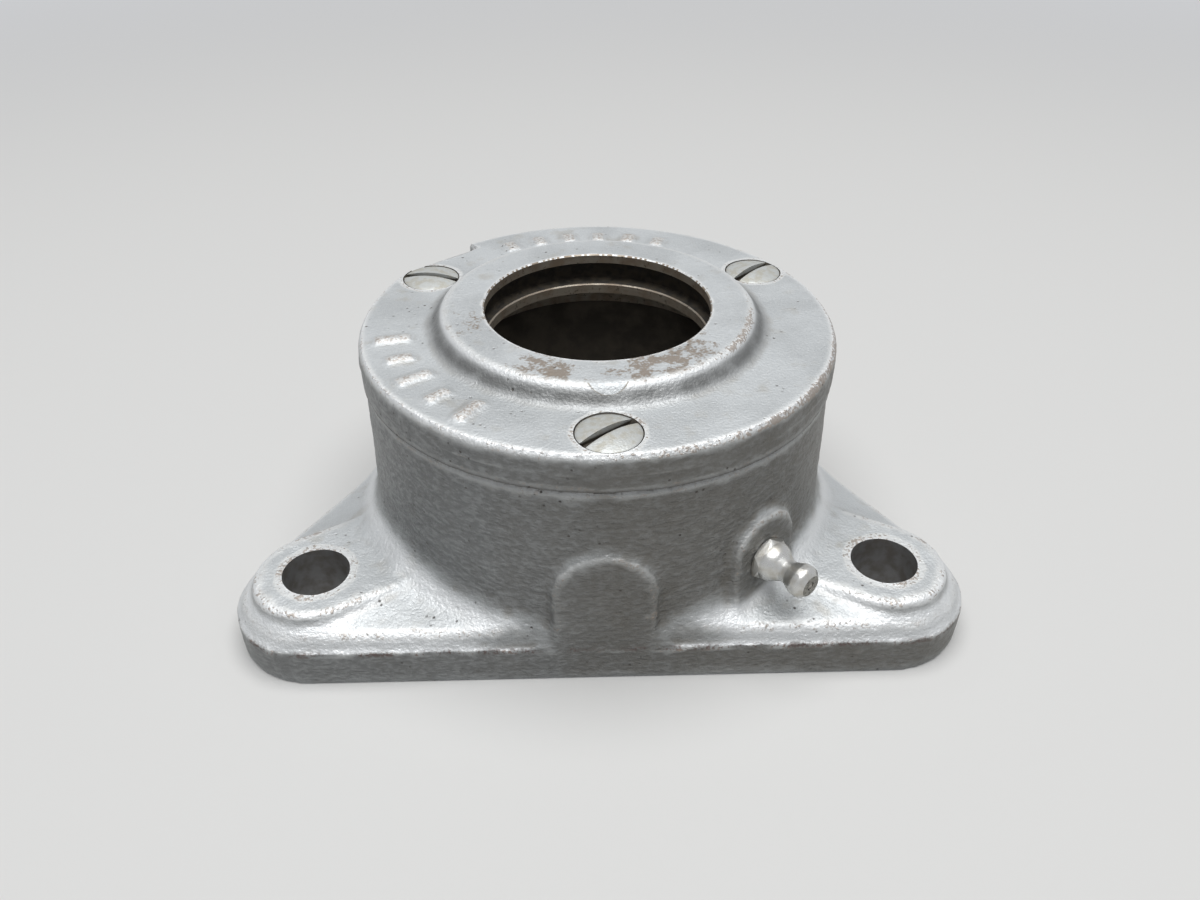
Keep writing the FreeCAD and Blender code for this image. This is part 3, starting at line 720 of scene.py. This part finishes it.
class Finish:
    """A material's node tree, with short names for the nodes that the finishes here are made of."""

    def __init__(self, name):
        self.material = bpy.data.materials.new(name)
        self.material.use_nodes = True
        self.tree = self.material.node_tree
        self.shader = self.tree.nodes["Principled BSDF"]
        coordinates = self.add("TexCoord").outputs["Object"]
        mapping = self.add("Mapping", {"Vector": coordinates, "Scale": (1 / MM,) * 3})
        self.place = mapping.outputs[0]
        across = self.add("SeparateXYZ", {"Vector": self.place}).outputs
        self.sideways = across["X"]
        self.depth = across["Y"]
        self.height = across["Z"]
        squares = self.plus(self.times(across["X"], across["X"]), self.times(across["Y"], across["Y"]))
        self.radius = self.maths("SQRT", squares)
        self.angle = self.times(self.maths("ARCTAN2", across["Y"], across["X"]), math.degrees(1))

    def add(self, kind, inputs=None, **settings):
        return add_node(self.tree, kind, inputs, **settings)

    def maths(self, operation, first, second=0.0):
        return self.add("Math", {0: first, 1: second}, operation=operation).outputs[0]

    def times(self, first, second):
        return self.maths("MULTIPLY", first, second)

    def plus(self, first, second):
        return self.maths("ADD", first, second)

    def noise(self, size, detail=2.0, stretch=None):
        """Noise from 0 to 1 whose features are about the size in mm."""
        place = self.place
        if stretch:
            place = self.add("Mapping", {"Vector": place, "Scale": stretch}).outputs[0]
        return self.add("TexNoise", {"Vector": place, "Scale": 1 / size, "Detail": detail}).outputs["Fac"]

    def spots(self, size):
        """Distance to the nearest of many scattered points, 0 at the point, in shares of their spacing."""
        return self.add("TexVoronoi", {"Vector": self.place, "Scale": 1 / size}).outputs["Distance"]

    def between(self, value, start, end, low=0.0, high=1.0):
        """Smooth step from low to high as the value goes from start to end."""
        return self.add("MapRange", {"Value": value, "From Min": start, "From Max": end, "To Min": low,
                                     "To Max": high}, interpolation_type="SMOOTHSTEP").outputs[0]

    def around(self, value, centre, width):
        """1 at the centre, falling to 0 one width away on each side."""
        away = self.maths("ABSOLUTE", self.maths("SUBTRACT", value, centre))
        return self.between(away, width, 0.0)

    def mix(self, share, first, second):
        """Mixes two colours."""
        colours = {place: (*value, 1) if isinstance(value, tuple) else value
                   for place, value in ((6, first), (7, second))}
        return self.add("Mix", {0: share, **colours}, data_type="RGBA").outputs[2]

    def mark(self, name):
        """One of the values that mark_surface stored."""
        return self.add("Attribute", attribute_name=name).outputs["Fac"]

    def bump(self, height, distance, strength=1.0):
        """Bump of the height times the distance in mm, on top of what was bumped before."""
        node = self.add("Bump", {"Height": height, "Distance": distance * MM, "Strength": strength})
        if self.shader.inputs["Normal"].is_linked:
            self.tree.links.new(self.shader.inputs["Normal"].links[0].from_socket, node.inputs["Normal"])
        self.tree.links.new(node.outputs[0], self.shader.inputs["Normal"])

    def set(self, **values):
        """Puts values or outputs on the shader, its sockets named in lower case with underscores."""
        for name, value in values.items():
            socket = self.shader.inputs[name.replace("_", " ").title()]
            put(self.tree, socket, (*value, 1) if isinstance(value, tuple) else value)


# The part's main heights and radii, in the millimetres that the finishes work in
JOINT_LEVEL = BODY_HEIGHT / MM + 0.3
FACE_LEVEL = COVER_TOP / MM
HUB_LEVEL = HUB_TOP / MM
BEVEL_LEVEL = FLANGE_SIDE / MM - 0.3
OPENING_AT = OPENING_RADIUS / MM
SHOULDER_AT = HUB_SHOULDER / MM
HUB_FOOT_AT = HUB_FOOT / MM
RIM_AT = COVER_RADIUS / MM
FRONT_AT = -FRONT_EDGE / MM

SILVER = (0.56, 0.583, 0.592)
SILVER_DARK = (0.46, 0.48, 0.487)
# Light paint of the flakes and rubbed edges, also used for the painted highlight on edges
RUBBED_AND_HIGHLIGHT = (0.70, 0.71, 0.70)
# Colour of the painted highlight on slopes
SLOPE_HIGHLIGHT = (0.84, 0.855, 0.86)
# Tones of the painted shade on upright walls, the second browner like stains
WALL_SHADE = (0.17, 0.173, 0.17)
STAINED_WALL_SHADE = (0.135, 0.126, 0.108)
WORN_IRON = (0.36, 0.305, 0.26)
# Dark brown for the hollows, and for the painted shade round the hub's flat
DARK_BROWN = (0.22, 0.195, 0.155)
RUST = (0.24, 0.185, 0.135)
# Colour of the painted highlight on the peel's ridges
PEEL_HIGHLIGHT = (0.35, 0.36, 0.36)
STAIN = (0.36, 0.33, 0.27)
# Colour of the painted shade on the hub's slope
SLOPE_SHADE = (0.16, 0.163, 0.16)
BROWN_NICK = (0.16, 0.12, 0.11)
JOINT_DIRT = (0.06, 0.052, 0.043)
PIT = (0.07, 0.06, 0.05)


def cover_wear(finish, speckle, blotch):
    """Where the cover's rim and shoulder are worn bare, most on the right, and where its hub rusts."""
    right = finish.around(finish.angle, -30, 80)
    rim = finish.times(finish.between(finish.radius, RIM_AT - 2.2, RIM_AT - 0.8),
                       finish.between(finish.height, FACE_LEVEL - 2.3, FACE_LEVEL - 0.9))
    shoulder = finish.times(finish.around(finish.radius, SHOULDER_AT - 0.2, 2.4),
                            finish.between(finish.height, HUB_LEVEL - 1.7, HUB_LEVEL - 0.7))
    worn = finish.plus(finish.times(rim, finish.plus(0.38, finish.times(right, 0.24))),
                       finish.times(shoulder, finish.plus(0.2, finish.times(right, 0.38))))
    uneven = finish.plus(finish.times(speckle, 0.9), finish.times(blotch, 0.5))
    chips = finish.between(finish.plus(worn, uneven), 1.18, 1.32)
    hub = finish.times(finish.between(finish.radius, SHOULDER_AT + 0.5, SHOULDER_AT - 1.5),
                       finish.between(finish.height, HUB_LEVEL - 0.7, HUB_LEVEL - 0.3))
    place = finish.maths("MAXIMUM", finish.around(finish.angle, -112, 24),
                         finish.around(finish.angle, -62, 42))
    place = finish.maths("MAXIMUM", place, finish.times(finish.around(finish.angle, -160, 19), 0.6))
    uneven = finish.plus(finish.times(finish.noise(2.6, 3), 0.6), finish.times(speckle, 0.4))
    patch = finish.plus(finish.times(place, 0.2), uneven)
    return chips, finish.times(hub, finish.between(patch, 0.63, 0.74, 0, 0.8))


def painted_wall_shade(finish, colour, upright, blotch, peel):
    """Painted shade on upright surfaces, browner to the right like stains and deeper in the peel's hollows,
    with painted highlights on the peel's ridges.
    """
    wall_shade = finish.plus(upright, finish.times(finish.plus(blotch, finish.times(peel, -1.0)), 0.3))
    brown = finish.plus(finish.noise(16, 2, (1, 1, 0.3)), finish.times(finish.sideways, 0.01))
    brown = finish.between(brown, 0.1, 0.7)
    colour = finish.mix(finish.between(wall_shade, 0.15, 1.0, 0, 0.85), colour,
                        finish.mix(brown, WALL_SHADE, STAINED_WALL_SHADE))
    # Painted highlight on the peel's ridges, as grazing light from above would catch them.
    peel_highlight = finish.times(finish.between(peel, 0.42, 0.66, 0, 0.6), finish.between(brown, 1.0, 0.0, 0.4, 1.0))
    return finish.mix(finish.times(peel_highlight, finish.between(upright, 0.5, 0.9)), colour, PEEL_HIGHLIGHT)


def hub_slope(finish, colour, blotch):
    """Painted shade on the slope below the hub's shoulder, with the flat in front kept at the plain paint
    colour and a painted shade round the flat's edge.
    """
    spot = spot_centre() / MM
    radius = SPOT_RADIUS / MM
    start = SPOT_EDGE / MM
    aside = finish.plus(finish.sideways, -spot.x)
    along = finish.times(finish.plus(finish.depth, -spot.y), 1 / math.cos(HUB_TILT))
    away = finish.maths("SQRT", finish.plus(finish.maths("POWER", aside, 2), finish.maths("POWER", along, 2)))
    outside = finish.between(finish.radius, start - 0.1, start + 0.1)
    flat = finish.times(finish.between(away, radius - 0.15, radius, 0.9, 0.0), outside)
    ring = finish.times(finish.around(away, radius + 0.05, 0.28), outside)
    slope = finish.times(finish.around(finish.radius, SHOULDER_AT + 1.8, 2.6),
                         finish.between(finish.height, HUB_LEVEL - 0.3, HUB_LEVEL - 1.3))
    # Painted shade: the slope is darkened as the lamp above would light it less.
    colour = finish.mix(finish.times(slope, finish.between(blotch, 0.2, 0.6, 0.7, 0.97)), colour, SLOPE_SHADE)
    # The flat is kept out of the painted shade.
    colour = finish.mix(flat, colour, SILVER)
    # Painted shade round the flat's edge, where its low step would be in shade.
    return finish.mix(finish.times(ring, 0.9), colour, DARK_BROWN)


def silver_paint(name, cover):
    """Aged silver paint on a casting: rubbed and chipped on its edges, darker and browner in its hollows,
    with painted shade on upright walls and the hub's slope and painted highlights on slopes and edges.
    """
    finish = Finish(name)
    relief = finish.mark("relief")
    upright = finish.mark("upright")
    broad = finish.noise(14, 3)
    blotch = finish.noise(5, 4)
    grain = finish.noise(0.55, 3)
    peel = finish.noise(0.8, 3, (0.5, 0.5, 1.0))
    flake = finish.noise(0.2, 2)
    speckle = finish.noise(0.6, 3)
    colour = finish.mix(finish.between(broad, 0.35, 0.7), SILVER, SILVER_DARK)
    colour = finish.mix(finish.between(flake, 0.4, 0.75, 0, 0.35), colour, RUBBED_AND_HIGHLIGHT)
    # Darker and browner in the hollows.
    hollow = finish.plus(relief, finish.times(finish.plus(blotch, -0.5), -0.12))
    colour = finish.mix(finish.between(hollow, -0.02, -0.15, 0, 0.5), colour, DARK_BROWN)
    colour = finish.mix(finish.between(blotch, 0.56, 0.75, 0, 0.35), colour, STAIN)
    # Painted shade on upright walls, with painted highlights on the peel's ridges.
    colour = painted_wall_shade(finish, colour, upright, blotch, peel)
    joint = finish.around(finish.height, JOINT_LEVEL, 2.0)
    clear = finish.times(finish.maths("SUBTRACT", 1.0, joint), finish.between(finish.height, 1.0, 2.5))
    edge = finish.times(finish.between(relief, 0.05, 0.2), clear)
    if cover:
        away = finish.between(finish.radius, OPENING_AT + 0.25, OPENING_AT + 1.95, 0.3, 1.0)
        edge = finish.times(edge, away)
    # Lighter paint on raised edges, most where they face up: partly rubbed wear and partly a painted
    # highlight, as on the arch's rim.
    rubbed_and_highlight = finish.times(finish.between(relief, 0.02, 0.13), clear)
    rubbed_and_highlight = finish.times(rubbed_and_highlight, finish.between(upright, 0.4, 1.0, 0.85, 0.12))
    colour = finish.mix(rubbed_and_highlight, colour, RUBBED_AND_HIGHLIGHT)
    # Painted highlight: surfaces tilted a little from level are lightened towards near white, standing in for
    # the lamp's glare on them.
    colour = finish.mix(finish.times(finish.around(upright, 0.3, 0.3), 0.75), colour, SLOPE_HIGHLIGHT)
    uneven = finish.plus(finish.times(speckle, 0.6), finish.times(blotch, 0.4))
    bare = finish.times(edge, finish.between(uneven, 0.52, 0.60))
    if cover:
        chips, rust = cover_wear(finish, speckle, blotch)
        bare = finish.maths("MAXIMUM", bare, chips)
        colour = finish.mix(rust, colour, RUST)
        bars = finish.times(finish.between(finish.height, FACE_LEVEL + 0.15, FACE_LEVEL + 0.6),
                            finish.between(finish.radius, HUB_FOOT_AT + 1.4, HUB_FOOT_AT + 2.4))
        bars = finish.times(bars, finish.between(speckle, 0.45, 0.6, 0.15, 0.7))
        colour = finish.mix(bars, colour, WORN_IRON)
        colour = hub_slope(finish, colour, blotch)
    else:
        nicks = finish.times(finish.around(finish.height, BEVEL_LEVEL, 1.0),
                             finish.between(finish.radius, FRONT_AT - 0.55, FRONT_AT + 0.25))
        nicks = finish.times(nicks, finish.between(finish.plus(speckle, blotch), 1.0, 1.2))
        colour = finish.mix(nicks, colour, BROWN_NICK)
    colour = finish.mix(finish.times(bare, 0.8), colour, WORN_IRON)
    line = finish.around(finish.height, JOINT_LEVEL - 0.05, 0.95)
    line = finish.times(line, finish.between(upright, 0.2, 0.5, 0, 0.9))
    colour = finish.mix(line, colour, JOINT_DIRT)
    pits = finish.times(finish.between(finish.spots(1.7), 0.20, 0.08),
                        finish.between(finish.noise(7, 2), 0.54, 0.66))
    colour = finish.mix(finish.times(pits, 0.85), colour, PIT)
    dull = finish.plus(grain, finish.times(blotch, 0.5))
    finish.set(base_color=colour, metallic=finish.between(bare, 0, 1, 0.5, 0.8),
               roughness=finish.between(dull, 0.4, 1.0, 0.40, 0.55))
    finish.bump(finish.times(peel, finish.plus(0.3, finish.times(upright, 0.7))), 0.2 if cover else 0.4)
    finish.bump(grain, 0.15)
    finish.bump(flake, 0.035)
    finish.bump(finish.times(pits, -1.0), 0.12)
    finish.bump(finish.times(bare, speckle), 0.10)
    return finish.material


def drilled_iron():
    """Grey iron inside the bolt holes, with the drill's rings and some rust."""
    finish = Finish("drilled_iron")
    rings = finish.noise(0.35, 2, (0.02, 0.02, 1))
    smear = finish.noise(2.5, 4)
    colour = finish.mix(finish.between(smear, 0.35, 0.7), (0.27, 0.27, 0.27), (0.20, 0.185, 0.17))
    finish.set(base_color=colour, metallic=0.4, roughness=finish.between(smear, 0.3, 0.7, 0.45, 0.6))
    finish.bump(rings, 0.04)
    return finish.material


def bored_iron():
    """Machined iron inside the bores, near black: partly old grease, partly painted shade for the dark deep
    inside.
    """
    finish = Finish("bored_iron")
    rings = finish.noise(0.35, 2, (0.02, 0.02, 1))
    smear = finish.noise(6, 4)
    # Near-black tones, partly old grease and partly painted shade.
    colour = finish.mix(finish.between(smear, 0.4, 0.65), (0.05, 0.042, 0.032), (0.10, 0.085, 0.065))
    finish.set(base_color=colour, metallic=0.5, roughness=finish.between(smear, 0.3, 0.7, 0.35, 0.6))
    finish.bump(rings, 0.03)
    return finish.material


def lip_iron():
    """Bare turned iron of the seal's lips, browned by air."""
    finish = Finish("lip_iron")
    rings = finish.noise(0.3, 2, (0.02, 0.02, 1))
    smear = finish.noise(4, 4)
    colour = finish.mix(finish.between(smear, 0.35, 0.7), (0.40, 0.355, 0.29), (0.27, 0.21, 0.155))
    colour = finish.mix(finish.between(finish.noise(0.8, 3), 0.6, 0.7, 0, 0.6), colour, (0.07, 0.055, 0.04))
    finish.set(base_color=colour, metallic=0.4, roughness=finish.between(smear, 0.3, 0.7, 0.35, 0.5))
    finish.bump(rings, 0.04)
    return finish.material


def milled_iron():
    """Milled underside of the flange, with fine cuts one way, dulled and spotted with rust."""
    finish = Finish("milled_iron")
    cuts = finish.noise(0.5, 2, (1, 0.02, 1))
    smear = finish.noise(9, 4)
    rust = finish.between(finish.noise(3, 5), 0.56, 0.68)
    colour = finish.mix(finish.between(smear, 0.35, 0.7), (0.33, 0.31, 0.29), (0.21, 0.19, 0.17))
    colour = finish.mix(finish.times(rust, 0.7), colour, RUST)
    finish.set(base_color=colour, metallic=finish.between(rust, 0, 1, 0.8, 0.2),
               roughness=finish.between(smear, 0.3, 0.7, 0.32, 0.55))
    finish.bump(cuts, 0.03)
    return finish.material


def groove_shade_and_dark_rings():
    """Near black: painted shade inside the seal's groove, and a dark ring round each screw head."""
    finish = Finish("groove_shade_and_dark_rings")
    smear = finish.noise(1.5, 4)
    # Near-black tone: painted shade in the groove, and a dark ring at the screws.
    colour = finish.mix(finish.between(smear, 0.35, 0.7), (0.018, 0.015, 0.011), (0.06, 0.048, 0.032))
    finish.set(base_color=colour, roughness=finish.between(smear, 0.3, 0.7, 0.45, 0.8))
    finish.bump(smear, 0.2)
    return finish.material


def screw_steel():
    """Screw head under the same thin paint, rubbed to steel, near black in its slot and below the cover's
    face.
    """
    finish = Finish("screw_steel")
    smear = finish.noise(1.6, 4)
    grain = finish.noise(0.35, 3)
    colour = finish.mix(finish.between(smear, 0.4, 0.65), (0.52, 0.535, 0.52), (0.44, 0.43, 0.38))
    colour = finish.mix(finish.between(grain, 0.55, 0.75, 0, 0.5), colour, (0.62, 0.61, 0.58))
    # Near black below the cover's face, in the slot.
    slot = finish.between(finish.height, FACE_LEVEL, FACE_LEVEL - 0.5)
    colour = finish.mix(slot, colour, (0.045, 0.038, 0.028))
    finish.set(base_color=colour, metallic=finish.between(slot, 0, 1, 0.4, 0.1),
               roughness=finish.between(smear, 0.35, 0.7, 0.42, 0.58))
    finish.bump(grain, 0.07)
    return finish.material


def nipple_steel():
    """Plated steel rubbed bright, greyed with grease where it isn't touched."""
    finish = Finish("nipple_steel")
    smear = finish.noise(2.2, 4)
    grain = finish.noise(0.3, 3)
    colour = finish.mix(finish.between(smear, 0.42, 0.7), (0.62, 0.62, 0.60), (0.50, 0.48, 0.43))
    colour = finish.mix(finish.between(grain, 0.6, 0.75, 0, 0.35), colour, (0.24, 0.21, 0.17))
    finish.set(base_color=colour, metallic=0.9, roughness=finish.between(smear, 0.35, 0.7, 0.27, 0.4))
    finish.bump(grain, 0.02)
    return finish.material


def small_steel(name, colour, roughness):
    """Dulled bare steel of the nipple's tip, its check ball or its spring."""
    finish = Finish(name)
    smear = finish.noise(0.6, 3)
    darker = tuple(part * 0.55 for part in colour)
    finish.set(base_color=finish.mix(finish.between(smear, 0.4, 0.7), colour, darker), metallic=0.9,
               roughness=finish.between(smear, 0.3, 0.7, roughness, roughness + 0.15))
    return finish.material


def gasket_paper():
    """Oil-soaked paper, its fibres showing at the edge."""
    finish = Finish("gasket_paper")
    fibres = finish.noise(0.4, 4, (0.4, 0.4, 3))
    colour = finish.mix(finish.between(fibres, 0.35, 0.7), (0.022, 0.018, 0.014), (0.07, 0.055, 0.038))
    finish.set(base_color=colour, roughness=finish.between(fibres, 0.3, 0.7, 0.6, 0.85))
    finish.bump(fibres, 0.08)
    return finish.material


def set_up_camera():
    """The photograph's viewpoint: a little left of the front, looking down on the part."""
    azimuth, elevation, roll = (math.radians(value) for value in (-1.94, 35.65, 0.17))
    distance = 215.75 * MM
    aim_height = 22.1 * MM
    shift_right, shift_down = 0.575 * MM, 2.398 * MM
    focal_length, sensor_width = 29.63, 36.0
    back = Vector((math.sin(azimuth) * math.cos(elevation), -math.cos(azimuth) * math.cos(elevation),
                   math.sin(elevation)))
    right = Vector((math.cos(azimuth), math.sin(azimuth), 0))
    up = back.cross(right)
    aim = UP * aim_height + right * shift_right - up * shift_down
    across = right * math.cos(roll) + up * math.sin(roll)
    upright = up * math.cos(roll) - right * math.sin(roll)
    camera = bpy.data.objects.new("camera", bpy.data.cameras.new("camera"))
    camera.data.lens = focal_length
    camera.data.sensor_width = sensor_width
    camera.data.clip_start = 0.005
    turn = Matrix((across, upright, back)).transposed().to_4x4()
    camera.matrix_world = Matrix.Translation(aim + back * distance) @ turn
    bpy.context.scene.collection.objects.link(camera)
    bpy.context.scene.camera = camera


def softbox(name, place, size, power):
    """Round lamp at the place, turned to the part."""
    lamp = bpy.data.lights.new(name, "AREA")
    lamp.shape = "DISK"
    lamp.size = size
    lamp.energy = power
    holder = bpy.data.objects.new(name, lamp)
    holder.location = place
    holder.rotation_euler = (Vector((0, 0, 0.02)) - Vector(place)).to_track_quat("-Z", "Y").to_euler()
    bpy.context.scene.collection.objects.link(holder)


def seen_or_mirrored(tree):
    """1 for what the camera sees directly, in metal or through glass, and 0 for light on the object."""
    rays = add_node(tree, "LightPath").outputs
    share = rays["Is Camera Ray"]
    for name in ("Is Glossy Ray", "Is Transmission Ray"):
        share = add_node(tree, "Math", {0: share, 1: rays[name]}, operation="MAXIMUM").outputs[0]
    return share


def floor_material():
    """Matt floor that keeps the shadow near the part and takes the room's tone further off."""
    material = bpy.data.materials.new("floor")
    material.use_nodes = True
    tree = material.node_tree
    shader = tree.nodes["Principled BSDF"]
    seen = seen_or_mirrored(tree)
    tone = add_node(tree, "Mix", {0: seen, 6: FLOOR_LIT, 7: FLOOR_SEEN}, data_type="RGBA").outputs[2]
    put(tree, shader.inputs["Roughness"], 0.9)
    put(tree, shader.inputs["Base Color"], tone)
    place = add_node(tree, "TexCoord").outputs["Object"]
    away = add_node(tree, "VectorMath", {0: place}, operation="LENGTH").outputs["Value"]
    far = add_node(tree, "MapRange", {"Value": away, "From Min": 0.25, "From Max": 0.9},
                   interpolation_type="SMOOTHSTEP").outputs[0]
    level = add_node(tree, "Math", {0: seen, 1: ROOM_SEEN}, operation="MULTIPLY").outputs[0]
    glow = add_node(tree, "Emission", {"Color": ROOM_COLOUR, "Strength": level}).outputs[0]
    blend = add_node(tree, "MixShader", {0: far, 1: shader.outputs[0], 2: glow}).outputs[0]
    put(tree, tree.nodes["Material Output"].inputs["Surface"], blend)
    return material


def light_room():
    """Faint even light from a room that the camera and bright metal see as pale."""
    world = bpy.data.worlds.new("room")
    bpy.context.scene.world = world
    world.use_nodes = True
    tree = world.node_tree
    background = tree.nodes["Background"]
    strength = add_node(tree, "MapRange", {"Value": seen_or_mirrored(tree), "To Min": ROOM_LIGHT,
                                           "To Max": ROOM_SEEN}).outputs[0]
    put(tree, background.inputs["Color"], ROOM_COLOUR)
    put(tree, background.inputs["Strength"], strength)


def set_up_studio():
    """Plain floor, the room's light and one broad lamp above the part."""
    bpy.context.scene.view_settings.view_transform = "Standard"
    shape = bmesh.new()
    bmesh.ops.create_grid(shape, x_segments=1, y_segments=1, size=3.0)
    floor = new_piece("floor", shape)
    floor.data.materials.append(floor_material())
    light_room()
    softbox("window_above", (0.02, -0.14, 1.25), 1.3, 17.5)


set_up_camera()
set_up_studio()
housing_casting(silver_paint("silver_body", cover=False), bored_iron(), milled_iron(), drilled_iron())
cover_casting(silver_paint("silver_cover", cover=True), lip_iron(), groove_shade_and_dark_rings())
screw_metal = screw_steel()
for screw_name, (screw_angle, slot_turn) in SCREWS.items():
    cover_screw(screw_name, screw_angle, slot_turn, screw_metal)
grease_nipple(nipple_steel(), small_steel("tip_steel", (0.30, 0.29, 0.26), 0.45))
check_spring(small_steel("spring_steel", (0.40, 0.39, 0.37), 0.35))
finishes = {"cover_gasket": gasket_paper(),
            "grease_check_ball": small_steel("ball_steel", (0.42, 0.40, 0.36), 0.3)}
for node_name, finish_material in finishes.items():
    for slot_place in frame["nodes"][node_name].material_slots:
        slot_place.material = finish_material
